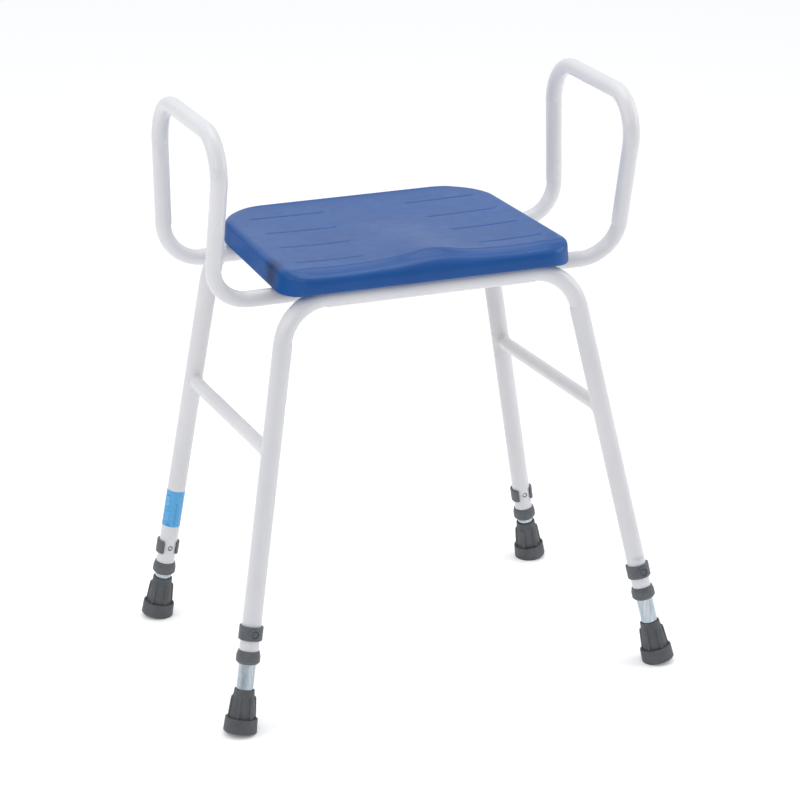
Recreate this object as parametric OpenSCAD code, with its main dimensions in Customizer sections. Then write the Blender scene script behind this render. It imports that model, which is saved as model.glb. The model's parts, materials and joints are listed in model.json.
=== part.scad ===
// Perching shower stool: two leg hoops and a pair of arm loops in bent steel tube,
// a moulded seat on a board, and four pinned, height-adjustable legs on rubber ferrules.
//
// Millimetres, +Z up. X runs across the stool and the front faces -Y.
// The origin is on the floor, midway between the four feet.
// As drawn, the rear legs are on their shortest setting and the front legs one hole longer,
// which levels the seat.

/* [View] */
// Sub-part to draw, or all of them

/* [Leg hoops] */
// Outside diameter of the leg tube
leg_od = 25.4; // [24:0.2:28]
// Wall thickness of the leg tube
leg_wall = 1.2; // [1:0.1:1.6]
// Distance between the corners of a hoop, on its centre line
hoop_w = 399; // [380:1:420]
// Height of the crossbars above the floor, on their centre line
hoop_z = 552.5; // [530:0.5:600]
// Centre-line radius of the hoop bends
hoop_bend_r = 65; // [50:1:80]
// Half the distance between the front and rear feet
foot_y = 202; // [190:1:215]
// Backward lean of the front hoop, in degrees
front_rake = 9.05; // [8:0.05:10]
// Forward lean of the rear hoop, in degrees
rear_rake = 2.25; // [1:0.05:3.5]
// Outward splay of the front legs within their hoop, in degrees
front_splay = 10.65; // [9:0.05:12]
// Outward splay of the rear legs within their hoop, in degrees
rear_splay = 9.45; // [8:0.05:12]

/* [Side struts] */
// Outside diameter of the strut tube
strut_od = 19; // [16:0.5:22]
// Wall thickness of the strut tube
strut_wall = 1.2; // [1:0.1:1.6]
// Height of the strut at the front leg, on its centre line
strut_front_z = 360; // [320:1:400]
// Height of the strut at the rear leg, on its centre line
strut_rear_z = 352; // [320:1:400]
// Size of the weld bead around each strut end
weld_bead = 2; // [1:0.5:3]

/* [Arm loops] */
// Outside diameter of the arm tube
arm_od = 22.2; // [20:0.2:24]
// Wall thickness of the arm tube
arm_wall = 1.2; // [1:0.1:1.6]
// Distance of each arm loop from the middle of the stool
arm_x = 287; // [270:1:300]
// Y position of the front cross tube
arm_front_y = -68; // [-75:1:-60]
// Y position of the rear cross tube
arm_rear_y = 130; // [115:1:135]
// Height of the cross tubes, on their centre line
arm_low_z = 548; // [546:0.5:549]
// Height of the arm's top bar, on its centre line
arm_top_z = 775.5; // [740:0.5:810]
// Forward lean of the front upright, in degrees
arm_front_lean = 13.9; // [5:0.1:18]
// Backward lean of the rear upright, in degrees
arm_rear_lean = 2.4; // [0:0.1:6]
// Bend radius at the foot of each upright
arm_low_bend_r = 52; // [40:1:60]
// Bend radius at the top front corner
arm_front_bend_r = 52; // [40:1:60]
// Bend radius at the top rear corner
arm_rear_bend_r = 62; // [40:1:65]

/* [Seat] */
// X position of the middle of the seat, which is fitted a little off centre
seat_x = -3; // [-5:0.5:5]
// Width of the seat at its front corners
seat_w = 410; // [390:1:425]
// How much narrower each side of the seat is at the back
seat_taper = 7; // [0:0.5:12]
// Y position of the seat's front edge
seat_front_y = -137; // [-140:1:-130]
// Y position of the seat's rear edge
seat_rear_y = 197; // [186:1:205]
// Corner radius at the front of the seat
seat_front_r = 34; // [26:1:45]
// Corner radius at the back of the seat
seat_rear_r = 74; // [40:1:80]
// Thickness of the seat pad at its edge
seat_t = 28.5; // [26:0.5:34]
// Height of the vertical band round the seat's edge
seat_side_h = 20; // [16:0.5:22]
// Width of the rounding between the top and the edge
seat_round = 12; // [10:0.5:20]
// How much the vertical band leans in towards its top
seat_lean = 1.5; // [0:0.5:3]
// How much lower the pad hangs along its left and right sides
seat_skirt = 3; // [0:0.5:3]
// Height of the raised middle at the front of the seat
seat_hump = 12; // [0:0.5:15]
// Depth of the hollow in the seat's top
seat_dish = 4; // [0:0.5:5]
// Depth of the moulded grip grooves
groove_depth = 1; // [0.5:0.1:1.5]
// Thickness of the board inside the seat
board_t = 12; // [10:0.5:14]
// Distance of the board's edge inside the seat's edge
board_inset = 24; // [20:1:30]

/* [Seat fixings] */
// Width of the flat rails under the board
rail_w = 30; // [25:1:40]
// Distance of each rail from the middle of the stool
rail_x = 110; // [90:1:130]
// Y position of the front pair of seat bolts
bolt_front_y = -25; // [-40:1:0]
// Y position of the rear pair of seat bolts
bolt_rear_y = 90; // [60:1:105]
// Thread diameter of the seat bolts
bolt_d = 6; // [5:1:6]

/* [Adjustable legs] */
// Outside diameter of the leg extension tube
ext_od = 22.2; // [21:0.2:22.4]
// Wall thickness of the leg extension tube
ext_wall = 1.2; // [1:0.1:1.6]
// Distance between adjustment holes
hole_pitch = 28; // [20:0.5:28]
// Number of adjustment holes in each extension
hole_count = 7; // [5:1:7]
// Diameter of the adjustment holes
hole_d = 7.5; // [7:0.1:8.5]
// Distance of the lowest adjustment hole from the floor, along the leg
first_hole = 107; // [105:1:112]
// Setting of the front legs: number of holes out from the shortest
front_setting = 1; // [0:1:3]
// Setting of the rear legs: number of holes out from the shortest
rear_setting = 0; // [0:1:3]
// Length of the plastic collar on the end of each leg tube
collar_l = 17.5; // [14:0.5:20]
// Outside diameter of the collar
collar_od = 31.8; // [30:0.2:34]
// Distance from the collar's lower end up to the pin
collar_to_pin = 41.2; // [38:0.1:44]

/* [Snap clips] */
// Height of the snap clip
clip_h = 18.5; // [14:0.5:19]
// Wall thickness of the snap clip
clip_t = 3.2; // [2.4:0.1:4]
// Half the angle of the snap clip's open side, in degrees
clip_gap = 38; // [30:1:45]
// Diameter of the clip's steel pin
pin_d = 6.2; // [5:0.1:6.6]

/* [Ferrules] */
// Diameter of the ferrule at its base
ferrule_d = 44.6; // [42:0.2:48]
// Height of the ferrule, along the leg
ferrule_h = 59.5; // [57:0.5:62]
// Height of the thick ring at the ferrule's base
ferrule_ring_h = 20; // [16:0.5:22]
// Height of the shoulder where the ribs end
ferrule_shoulder_h = 49; // [45:0.5:50]
// Distance of the ferrule's base from the floor, along the leg
ferrule_lift = 1.5; // [1:0.1:2.5]
// Number of ribs on the ferrule
rib_count = 6; // [4:2:12]

/* [Label] */
// Height of the plain label on the rear left leg
label_h = 53.5; // [30:0.5:80]
// Distance of the label's lower edge from the floor, along the leg
label_start = 139.5; // [130:0.5:160]

/* [Hidden] */
FRONT = 0;
REAR = 1;
LEFT = -1;
RIGHT = 1;
rake = [front_rake, rear_rake];
splay = [front_splay, rear_splay];
setting = [front_setting, rear_setting];
bend_lap = 0.5;
bend_skin = 0.05;
leg_r = leg_od / 2;
leg_bore = leg_od - 2 * leg_wall;
arm_r = arm_od / 2;
collar_lip = 1.5;
collar_gap = 0.2;
collar_chamfer = 2.5;
collar_rim = 1.5;
clip_ease = 0.05;
clip_boss_r = 7;
clip_boss_h = 2;
clip_dimple_r = 5;
clip_dimple = 0.8;
label_t = 0.15;
label_ease = 0.02;
label_wrap = 320;
seat_z = hoop_z + leg_r;
seat_bottom_r = 4;
hump_half_w = 42;
seat_edge = seat_round + seat_lean;
seat_rim = 30;
skirt_start_x = 165;
skirt_end_x = 195;
hump_fade_y = 70;
groove_r = 1.6;
groove_steps = 6;
groove_rows = [[-78, 80, 176], [-7, 71, 172], [61, 64, 169], [131, 58, 166]];
rail_z = arm_low_z + arm_r;
bolt_hole_d = bolt_d + 0.6;
bolt_head_h = 4;
bolt_head_d = 11.4;
washer_d = 16;
washer_t = 1.5;
insert_d = 9;
insert_flange_d = 20;
insert_flange_t = 1.5;
disc_t = 1.6;
ferrule_floor = 6;
rib_w = 3.5;
rib_depth = 1.8;
big = 200;
$fn = 64;

// Distance from the floor up to the crossbar, within the plane of the hoop.
function hoop_reach(pair) = hoop_z / cos(rake[pair]);
// Length of the leg's centre line from the floor to the corner of the hoop.
function leg_reach(pair) = hoop_reach(pair) / cos(splay[pair]);
// Distance of a foot from the middle of the stool.
function foot_x(pair) = hoop_w / 2 + hoop_reach(pair) * tan(splay[pair]);
// Front is towards -Y, so the two pairs of legs lean opposite ways.
function pair_sign(pair) = pair == FRONT ? -1 : 1;
function foot_point(pair) = [foot_x(pair), pair_sign(pair) * foot_y, 0];
// Direction of a right-hand leg, going up.
function leg_dir(pair) = [
    -sin(splay[pair]),
    -pair_sign(pair) * cos(splay[pair]) * sin(rake[pair]),
    cos(splay[pair]) * cos(rake[pair])
];
function leg_point(pair, z) = foot_point(pair) + leg_dir(pair) * z / leg_dir(pair).z;
function crossbar_y(pair) = pair_sign(pair) * (foot_y - hoop_z * tan(rake[pair]));
function pin_reach(pair) = first_hole + setting[pair] * hole_pitch;
function collar_reach(pair) = pin_reach(pair) - collar_to_pin;
function smooth(t) = let (u = min(max(t, 0), 1)) u * u * (3 - 2 * u);

// Mirrors its children to the left when side is LEFT.
module on_side(side) {
    if (side == LEFT) mirror([1, 0, 0]) children();
    else children();
}

// Local frame of a leg: origin on the floor, +Z up the leg, +Y square to its hoop.
module on_leg(pair, side) {
    on_side(side)
        translate(foot_point(pair))
            rotate([pair_sign(pair) * rake[pair], 0, 0])
                rotate([0, -splay[pair], 0])
                    children();
}

// Runs a child from one point to another, along its own +Z.
module between(a, b) {
    d = b - a;
    translate(a)
        rotate([0, acos(d.z / norm(d)), atan2(d.y, d.x)])
            children();
}

module ring(od, id) {
    difference() {
        circle(d = od);
        circle(d = id);
    }
}

// Straight tube up +Z; its children start where it ends.
module straight(length, od, id) {
    linear_extrude(length) ring(od, id);
    translate([0, 0, length]) children();
}

// Tube that starts up +Z and bends towards +X; its children start where it ends.
// Its wall is a hair thicker and laps over the straight tubes, so that the pieces join cleanly.
module bend(radius, angle, od, id) {
    rotate([0, 0, 180])
        rotate([90, 0, 0])
            translate([-radius, 0, 0])
                rotate([0, 0, -bend_lap])
                    rotate_extrude(angle = angle + 2 * bend_lap)
                        translate([radius, 0]) ring(od + 2 * bend_skin, id - 2 * bend_skin);
    translate([radius * (1 - cos(angle)), 0, radius * sin(angle)])
        rotate([0, angle, 0])
            children();
}

module hoop(pair) {
    id = leg_bore;
    angle = 90 - splay[pair];
    corner = hoop_bend_r * tan(angle / 2);
    bar = hoop_w / 2 - corner;
    leg = leg_reach(pair) - corner - collar_reach(pair) - collar_lip;
    translate([0, crossbar_y(pair), hoop_z])
        rotate([pair_sign(pair) * rake[pair], 0, 0]) {
            translate([-bar, 0, 0])
                rotate([0, 90, 0])
                    straight(2 * bar, leg_od, id);
            for (side = [LEFT, RIGHT])
                on_side(side)
                    translate([bar, 0, 0])
                        rotate([0, 90, 0])
                            bend(hoop_bend_r, angle, leg_od, id)
                                straight(leg, leg_od, id);
        }
}

module leg_frame(pair) {
    color("whitesmoke")
        difference() {
            hoop(pair);
            for (side = [LEFT, RIGHT])
                on_leg(pair, side)
                    translate([0, 0, pin_reach(pair)])
                        rotate([90, 0, 0])
                            cylinder(d = hole_d, h = 2 * leg_od, center = true);
        }
}

module front_leg_frame() {
    leg_frame(FRONT);
}

module rear_leg_frame() {
    leg_frame(REAR);
}

// Tube between a front and a rear leg, with a weld bead where it meets each of them.
module side_strut(side) {
    front = leg_point(FRONT, strut_front_z);
    rear = leg_point(REAR, strut_rear_z);
    span = norm(rear - front);
    bead_d = strut_od + 2 * weld_bead;
    bead_end = leg_r + 3 * weld_bead;
    color("whitesmoke")
        on_side(side)
            difference() {
                between(front, rear) {
                    cylinder(d = strut_od, h = span);
                    for (flip = [0, 1])
                        translate([0, 0, flip * span])
                            mirror([0, 0, flip]) {
                                cylinder(d = bead_d, h = leg_r);
                                translate([0, 0, leg_r])
                                    cylinder(d1 = bead_d, d2 = strut_od, h = bead_end - leg_r);
                            }
                }
                between(front, rear) cylinder(d = strut_od - 2 * strut_wall, h = span);
                for (pair = [FRONT, REAR])
                    translate(foot_point(pair))
                        between([0, 0, 0], leg_dir(pair)) cylinder(d = leg_od, h = hoop_z);
            }
}

module side_strut_left() {
    side_strut(LEFT);
}

module side_strut_right() {
    side_strut(RIGHT);
}

// One bent tube: cross tube, front upright, top bar, rear upright, cross tube.
module arm(side) {
    id = arm_od - 2 * arm_wall;
    rise = arm_top_z - arm_low_z;
    tail = arm_x - arm_low_bend_r;
    front_corner = arm_front_bend_r * tan(45 + arm_front_lean / 2);
    rear_corner = arm_rear_bend_r * tan(45 + arm_rear_lean / 2);
    front_up = rise / cos(arm_front_lean) - arm_low_bend_r - front_corner;
    rear_up = rise / cos(arm_rear_lean) - arm_low_bend_r - rear_corner;
    top_front_y = arm_front_y - rise * tan(arm_front_lean);
    top_rear_y = arm_rear_y + rise * tan(arm_rear_lean);
    top = top_rear_y - top_front_y - front_corner - rear_corner;
    color("whitesmoke")
        on_side(side)
            translate([0, arm_front_y, arm_low_z])
                rotate([0, 90, 0])
                    rotate([0, 0, 180 + arm_front_lean])
                        straight(tail, arm_od, id)
                            bend(arm_low_bend_r, 90, arm_od, id)
                                rotate([0, 0, -90])
                                    straight(front_up, arm_od, id)
                                        bend(arm_front_bend_r, 90 + arm_front_lean, arm_od, id)
                                            straight(top, arm_od, id)
                                                bend(arm_rear_bend_r, 90 + arm_rear_lean, arm_od, id)
                                                    straight(rear_up, arm_od, id)
                                                        rotate([0, 0, 90])
                                                            bend(arm_low_bend_r, 90, arm_od, id)
                                                                straight(tail, arm_od, id);
}

module arm_left() {
    arm(LEFT);
}

module arm_right() {
    arm(RIGHT);
}

// Flat bar welded between the crossbars and lying on the cross tubes.
module seat_rail(side) {
    front_y = crossbar_y(FRONT);
    color("whitesmoke")
        on_side(side)
            difference() {
                translate([rail_x - rail_w / 2, front_y, rail_z])
                    cube([rail_w, crossbar_y(REAR) - front_y, seat_z - rail_z]);
                for (pair = [FRONT, REAR])
                    translate([0, crossbar_y(pair), hoop_z])
                        rotate([0, 90, 0])
                            cylinder(d = leg_od, h = big);
                for (y = [bolt_front_y, bolt_rear_y])
                    translate([rail_x, y, rail_z - 1])
                        cylinder(d = bolt_hole_d, h = seat_z - rail_z + 2);
            }
}

module seat_rail_left() {
    seat_rail(LEFT);
}

module seat_rail_right() {
    seat_rail(RIGHT);
}

// Seat corners, front right first and then anticlockwise: position, radius, start angle.
seat_corners = [
    [[seat_w / 2 - seat_front_r, seat_front_y + seat_front_r], seat_front_r, -90],
    [[seat_w / 2 - seat_taper - seat_rear_r, seat_rear_y - seat_rear_r], seat_rear_r, 0],
    [[-seat_w / 2 + seat_taper + seat_rear_r, seat_rear_y - seat_rear_r], seat_rear_r, 90],
    [[-seat_w / 2 + seat_front_r, seat_front_y + seat_front_r], seat_front_r, 180]
];
corner_steps = 6;
edge_steps = 16;
// Points along one corner, moved in by inset.
function corner_points(c, inset) = [
    for (i = [0:corner_steps])
        let (a = c[2] + 90 * i / corner_steps)
            c[0] + (c[1] - inset) * [cos(a), sin(a)]
];
// Outline of the seat moved in by inset, with the straight edges divided up.
function seat_outline(inset) = [
    for (k = [0:3])
        let (
            here = corner_points(seat_corners[k], inset),
            next = corner_points(seat_corners[(k + 1) % 4], inset),
            a = here[corner_steps],
            b = next[0]
        )
            each concat(here, [for (i = [1:edge_steps - 1]) a + (b - a) * i / edge_steps])
];
seat_mid = [0, (seat_front_y + seat_rear_y) / 2];
outline_count = 4 * (corner_steps + edge_steps);

// Height of the seat's top: a shallow hollow, with a raised middle towards the front.
function seat_top(p) =
    let (
        across = max(0, 1 - pow(p.x / (seat_w / 2 - seat_edge), 2)),
        along = max(0, 1 - pow((p.y - seat_mid.y) / ((seat_rear_y - seat_front_y) / 2 - seat_edge), 2)),
        thigh = exp(-pow((abs(p.x) - 2.9 * hump_half_w) / hump_half_w, 2)),
        forward = 1 - smooth((p.y - seat_front_y - seat_edge) / (hump_fade_y - seat_front_y)),
        hump = seat_hump * exp(-pow(p.x / hump_half_w, 2)) * forward,
        dish = 0.35 * thigh * forward + sqrt(across * along) * (1 - 0.4 * forward)
    )
        seat_z + seat_t + hump - seat_dish * dish;

// Height of the seat's underside: level over the leg hoops and lower along the sides.
function seat_under(p) =
    let (t = (abs(p.x) - skirt_start_x) / (skirt_end_x - skirt_start_x))
        seat_z - seat_skirt * smooth(t);
function seat_ring(inset, height) = [
    for (p = seat_outline(inset)) [p.x, p.y, seat_under(p) + height]
];
// Ring on the rounding, angle 0 at the side and 90 on the top.
function seat_round_ring(angle) = [
    for (p = seat_outline(seat_lean + seat_round * (1 - cos(angle))))
        [p.x, p.y, seat_z + seat_side_h + (seat_top(p) - seat_z - seat_side_h) * sin(angle)]
];
function seat_top_ring(size) = [
    for (p = seat_outline(seat_edge))
        let (q = seat_mid + (p - seat_mid) * size)
            [q.x, q.y, seat_top(q)]
];
// Top and bottom come to a point in the middle, so the two ends close as fans.
seat_rings = concat(
    [
        seat_ring(seat_rim, 0),
        seat_ring(seat_bottom_r, 0),
        seat_ring(seat_bottom_r * 0.3, seat_bottom_r * 0.3),
        seat_ring(0, seat_bottom_r)
    ],
    [for (angle = [0:15:90]) seat_round_ring(angle)],
    [for (size = [0.86:-0.14:0.16]) seat_top_ring(size)]
);
ring_count = len(seat_rings);
seat_points = concat(
    [for (r = seat_rings) each r],
    [[seat_mid.x, seat_mid.y, seat_z], [seat_mid.x, seat_mid.y, seat_top(seat_mid)]]
);
seat_faces = concat(
    [
        for (r = [0:ring_count - 2], i = [0:outline_count - 1])
            let (
                j = (i + 1) % outline_count,
                a = r * outline_count + i,
                b = r * outline_count + j,
                c = a + outline_count,
                d = b + outline_count
            )
                each [[a, c, b], [b, c, d]]
    ],
    [for (i = [0:outline_count - 1]) [len(seat_points) - 2, i, (i + 1) % outline_count]],
    [
        for (i = [0:outline_count - 1])
            let (base = (ring_count - 1) * outline_count)
                [len(seat_points) - 1, base + (i + 1) % outline_count, base + i]
    ]
);

module board_outline(inset) {
    polygon([for (k = [0:3]) each corner_points(seat_corners[k], inset)]);
}

module seat_board_blank() {
    translate([seat_x, 0, seat_z]) linear_extrude(board_t) board_outline(board_inset);
}

module at_seat_bolts() {
    for (x = [-rail_x, rail_x], y = [bolt_front_y, bolt_rear_y])
        translate([x, y, 0])
            children();
}

module seat_board() {
    color("burlywood")
        difference() {
            seat_board_blank();
            at_seat_bolts() insert_shape(0);
        }
}

// Shallow groove across the top, following the surface; a row is its Y and the X of its two ends.
module groove(row) {
    points = [
        for (i = [0:groove_steps])
            let (p = [row[1] + (row[2] - row[1]) * i / groove_steps, row[0]])
                [p.x, p.y, seat_top(p) + groove_r - groove_depth]
    ];
    for (i = [0:groove_steps - 1])
        hull()
            for (p = [points[i], points[i + 1]])
                translate(p) sphere(groove_r, $fn = 12);
}

module seat_pad() {
    color("royalblue")
        difference() {
            translate([seat_x, 0, 0]) polyhedron(seat_points, seat_faces);
            translate([0, 0, -seat_skirt - 1]) seat_board_blank();
            seat_board_blank();
            for (side = [LEFT, RIGHT], row = groove_rows)
                on_side(side) groove(row);
        }
}

// Threaded insert: its flange is on top of the board, under the pad.
module insert_shape(bore) {
    difference() {
        union() {
            translate([0, 0, seat_z]) cylinder(d = insert_d, h = board_t);
            translate([0, 0, seat_z + board_t - insert_flange_t])
                cylinder(d = insert_flange_d, h = insert_flange_t);
        }
        if (bore > 0)
            translate([0, 0, seat_z - 1]) cylinder(d = bore, h = board_t + 2);
    }
}

module seat_inserts() {
    color("silver") at_seat_bolts() insert_shape(bolt_d);
}

module seat_washers() {
    color("silver")
        at_seat_bolts()
            translate([0, 0, rail_z - washer_t])
                linear_extrude(washer_t) ring(washer_d, bolt_hole_d);
}

module seat_bolts() {
    color("silver")
        at_seat_bolts() {
            translate([0, 0, rail_z - washer_t - bolt_head_h])
                cylinder(d = bolt_head_d, h = bolt_head_h, $fn = 6);
            translate([0, 0, rail_z - washer_t]) cylinder(d = bolt_d, h = seat_z + board_t - rail_z);
        }
}

// Plastic collar pressed on the end of the leg tube, with a lip under the tube's end.
module leg_collar(pair, side) {
    tube = collar_lip;
    color("dimgray")
        on_leg(pair, side)
            translate([0, 0, collar_reach(pair)])
                rotate_extrude()
                    polygon([
                        [ext_od / 2 + collar_gap, 0],
                        [collar_od / 2 - collar_chamfer, 0],
                        [collar_od / 2, collar_chamfer],
                        [collar_od / 2, collar_l * 0.65],
                        [leg_r + collar_rim, collar_l],
                        [leg_r, collar_l],
                        [leg_r, tube],
                        [ext_od / 2 + collar_gap, tube]
                    ]);
}

module leg_collar_front_left() {
    leg_collar(FRONT, LEFT);
}

module leg_collar_front_right() {
    leg_collar(FRONT, RIGHT);
}

module leg_collar_rear_left() {
    leg_collar(REAR, LEFT);
}

module leg_collar_rear_right() {
    leg_collar(REAR, RIGHT);
}

// Telescopic inner tube with a row of adjustment holes, standing on the ferrule's disc.
module leg_extension(pair, side) {
    start = ferrule_lift + ferrule_floor + disc_t;
    top = first_hole + hole_count * hole_pitch;
    color("lightgray")
        on_leg(pair, side)
            difference() {
                translate([0, 0, start]) straight(top - start, ext_od, ext_od - 2 * ext_wall);
                for (k = [0:hole_count - 1])
                    translate([0, 0, first_hole + k * hole_pitch])
                        rotate([90, 0, 0])
                            cylinder(d = hole_d, h = 2 * ext_od, center = true);
            }
}

module leg_extension_front_left() {
    leg_extension(FRONT, LEFT);
}

module leg_extension_front_right() {
    leg_extension(FRONT, RIGHT);
}

module leg_extension_rear_left() {
    leg_extension(REAR, LEFT);
}

module leg_extension_rear_right() {
    leg_extension(REAR, RIGHT);
}

// Rubber ferrule, square to the leg, with its base cut level where it stands on the floor.
module ferrule(pair, side) {
    base_r = ferrule_d / 2;
    ring_r = base_r - 0.8;
    foot_r = ring_r - 2.4;
    shoulder_r = ext_od / 2 + 5.4;
    neck_r = ext_od / 2 + 2.3;
    taper_h = ferrule_shoulder_h - ferrule_ring_h;
    top = ferrule_h - ferrule_lift;
    color("dimgray")
        difference() {
            on_leg(pair, side)
                translate([0, 0, ferrule_lift])
                    difference() {
                        union() {
                            rotate_extrude()
                                polygon([
                                    [0, 0],
                                    [base_r - 1.5, 0],
                                    [base_r, 1.5],
                                    [ring_r, ferrule_ring_h - 1],
                                    [ring_r - 1, ferrule_ring_h],
                                    [foot_r - rib_depth, ferrule_ring_h],
                                    [shoulder_r - rib_depth, ferrule_shoulder_h],
                                    [neck_r, ferrule_shoulder_h],
                                    [neck_r, top - 0.8],
                                    [neck_r - 0.8, top],
                                    [0, top]
                                ]);
                            intersection() {
                                translate([0, 0, ferrule_ring_h])
                                    cylinder(r1 = foot_r, r2 = shoulder_r, h = taper_h);
                                for (k = [0:rib_count / 2 - 1])
                                    rotate([0, 0, (k + 0.5) * 360 / rib_count])
                                        translate([-base_r, -rib_w / 2, ferrule_ring_h])
                                            cube([2 * base_r, rib_w, ferrule_shoulder_h - ferrule_ring_h]);
                            }
                        }
                        translate([0, 0, ferrule_floor]) cylinder(d = ext_od, h = ferrule_h);
                    }
            translate([-big * 2, -big * 2, -big]) cube([big * 4, big * 4, big]);
        }
}

module ferrule_front_left() {
    ferrule(FRONT, LEFT);
}

module ferrule_front_right() {
    ferrule(FRONT, RIGHT);
}

module ferrule_rear_left() {
    ferrule(REAR, LEFT);
}

module ferrule_rear_right() {
    ferrule(REAR, RIGHT);
}

// Steel disc that keeps the tube from cutting through the rubber.
module ferrule_disc(pair, side) {
    color("silver")
        on_leg(pair, side)
            translate([0, 0, ferrule_lift + ferrule_floor])
                cylinder(d = ext_od, h = disc_t);
}

module ferrule_disc_front_left() {
    ferrule_disc(FRONT, LEFT);
}

module ferrule_disc_front_right() {
    ferrule_disc(FRONT, RIGHT);
}

module ferrule_disc_rear_left() {
    ferrule_disc(REAR, LEFT);
}

module ferrule_disc_rear_right() {
    ferrule_disc(REAR, RIGHT);
}

// Frame of a clip: origin at the pin's height on the leg's axis, -Y out through the closed side.
module at_clip(pair, side) {
    on_leg(pair, side)
        translate([0, 0, pin_reach(pair)])
            rotate([0, 0, pair == FRONT ? 0 : 180])
                children();
}

// C-shaped snap clip: the closed side carries the pin in a round boss.
module clip(pair, side) {
    clip_r = leg_r + clip_t;
    reach = 2 * clip_r;
    color("dimgray")
        at_clip(pair, side)
            difference() {
                union() {
                    translate([0, 0, -clip_h / 2]) cylinder(r = clip_r, h = clip_h);
                    rotate([90, 0, 0]) cylinder(r = clip_boss_r, h = clip_r + clip_boss_h);
                }
                translate([0, 0, -clip_h]) cylinder(r = leg_r + clip_ease, h = 2 * clip_h);
                translate([0, 0, -clip_h])
                    linear_extrude(2 * clip_h)
                        polygon([
                            [0, 0],
                            [reach * sin(clip_gap), reach * cos(clip_gap)],
                            [0, 2 * reach],
                            [-reach * sin(clip_gap), reach * cos(clip_gap)]
                        ]);
                rotate([90, 0, 0]) cylinder(d = pin_d, h = clip_r);
                translate([0, -clip_r - clip_boss_h + clip_dimple, 0])
                    rotate([90, 0, 0])
                        cylinder(r = clip_dimple_r, h = clip_boss_h);
            }
}

module clip_front_left() {
    clip(FRONT, LEFT);
}

module clip_front_right() {
    clip(FRONT, RIGHT);
}

module clip_rear_left() {
    clip(REAR, LEFT);
}

module clip_rear_right() {
    clip(REAR, RIGHT);
}

module clip_pin(pair, side) {
    far_end = leg_r - 0.4;
    color("silver")
        at_clip(pair, side)
            translate([0, far_end, 0])
                rotate([90, 0, 0])
                    cylinder(d = pin_d, h = far_end + leg_r + clip_t);
}

module clip_pin_front_left() {
    clip_pin(FRONT, LEFT);
}

module clip_pin_front_right() {
    clip_pin(FRONT, RIGHT);
}

module clip_pin_rear_left() {
    clip_pin(REAR, LEFT);
}

module clip_pin_rear_right() {
    clip_pin(REAR, RIGHT);
}

module rating_label() {
    color("skyblue")
        on_leg(REAR, LEFT)
            translate([0, 0, label_start])
                rotate([0, 0, 90 + (360 - label_wrap) / 2])
                    rotate_extrude(angle = label_wrap)
                        translate([leg_r + label_ease, 0]) square([label_t, label_h]);
}

front_leg_frame();
rear_leg_frame();
side_strut_left();
side_strut_right();
arm_left();
arm_right();
seat_rail_left();
seat_rail_right();
seat_board();
seat_pad();
seat_inserts();
seat_washers();
seat_bolts();
leg_collar_front_left();
leg_collar_front_right();
leg_collar_rear_left();
leg_collar_rear_right();
leg_extension_front_left();
leg_extension_front_right();
leg_extension_rear_left();
leg_extension_rear_right();
ferrule_front_left();
ferrule_front_right();
ferrule_rear_left();
ferrule_rear_right();
ferrule_disc_front_left();
ferrule_disc_front_right();
ferrule_disc_rear_left();
ferrule_disc_rear_right();
clip_front_left();
clip_front_right();
clip_rear_left();
clip_rear_right();
clip_pin_front_left();
clip_pin_front_right();
clip_pin_rear_left();
clip_pin_rear_right();
rating_label();
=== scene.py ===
import json
import math
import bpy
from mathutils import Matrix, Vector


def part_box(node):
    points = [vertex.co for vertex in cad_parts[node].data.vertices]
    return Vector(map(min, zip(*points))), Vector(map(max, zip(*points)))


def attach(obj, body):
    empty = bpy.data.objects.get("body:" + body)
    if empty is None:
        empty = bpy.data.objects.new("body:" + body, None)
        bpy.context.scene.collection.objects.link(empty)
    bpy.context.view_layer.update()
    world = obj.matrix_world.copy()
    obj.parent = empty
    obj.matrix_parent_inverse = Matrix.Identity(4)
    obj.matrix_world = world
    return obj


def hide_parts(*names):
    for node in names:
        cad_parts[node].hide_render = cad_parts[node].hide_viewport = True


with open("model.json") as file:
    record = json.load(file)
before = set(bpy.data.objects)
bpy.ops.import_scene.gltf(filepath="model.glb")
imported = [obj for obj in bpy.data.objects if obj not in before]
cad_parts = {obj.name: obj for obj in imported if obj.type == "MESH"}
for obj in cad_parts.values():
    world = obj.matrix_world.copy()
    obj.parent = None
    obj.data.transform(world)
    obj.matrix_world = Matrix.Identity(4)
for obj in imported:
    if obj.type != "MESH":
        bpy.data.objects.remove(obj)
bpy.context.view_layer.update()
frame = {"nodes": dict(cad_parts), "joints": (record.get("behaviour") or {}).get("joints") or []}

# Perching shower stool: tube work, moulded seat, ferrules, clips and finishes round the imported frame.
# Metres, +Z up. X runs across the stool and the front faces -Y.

from types import SimpleNamespace

import bmesh
import bpy
from mathutils import Matrix, Vector

MM = 0.001
LEGS = ("front_left", "front_right", "rear_left", "rear_right")
FRAME_BODY = "frame"

# Tubes
LEG_R = 12.7 * MM
LEG_WALL = 1.2 * MM
LEG_BEND_R = 65 * MM
ARM_R = 11.1 * MM
ARM_WALL = 1.2 * MM
ARM_X = 287 * MM
ARM_FRONT_Y = -68 * MM
ARM_REAR_Y = 130 * MM
ARM_LOW_Z = 548 * MM
ARM_TOP_Z = 775.5 * MM
ARM_FRONT_LEAN = math.radians(13.9)
ARM_REAR_LEAN = math.radians(2.4)
ARM_LOW_BEND_R = 52 * MM
ARM_FRONT_BEND_R = 52 * MM
ARM_REAR_BEND_R = 62 * MM
EXT_R = 11.1 * MM
HOLE_R = 3.75 * MM
TUBE_SIDES = 48
# In a bend the tube is flattened on its inner and outer side and a little wider across.
BEND_INNER = 0.10
BEND_OUTER = 0.035
BEND_SIDE = 0.03
BEND_MARK = 3.5 * MM
BEND_STEP = math.radians(4.5)

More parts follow.
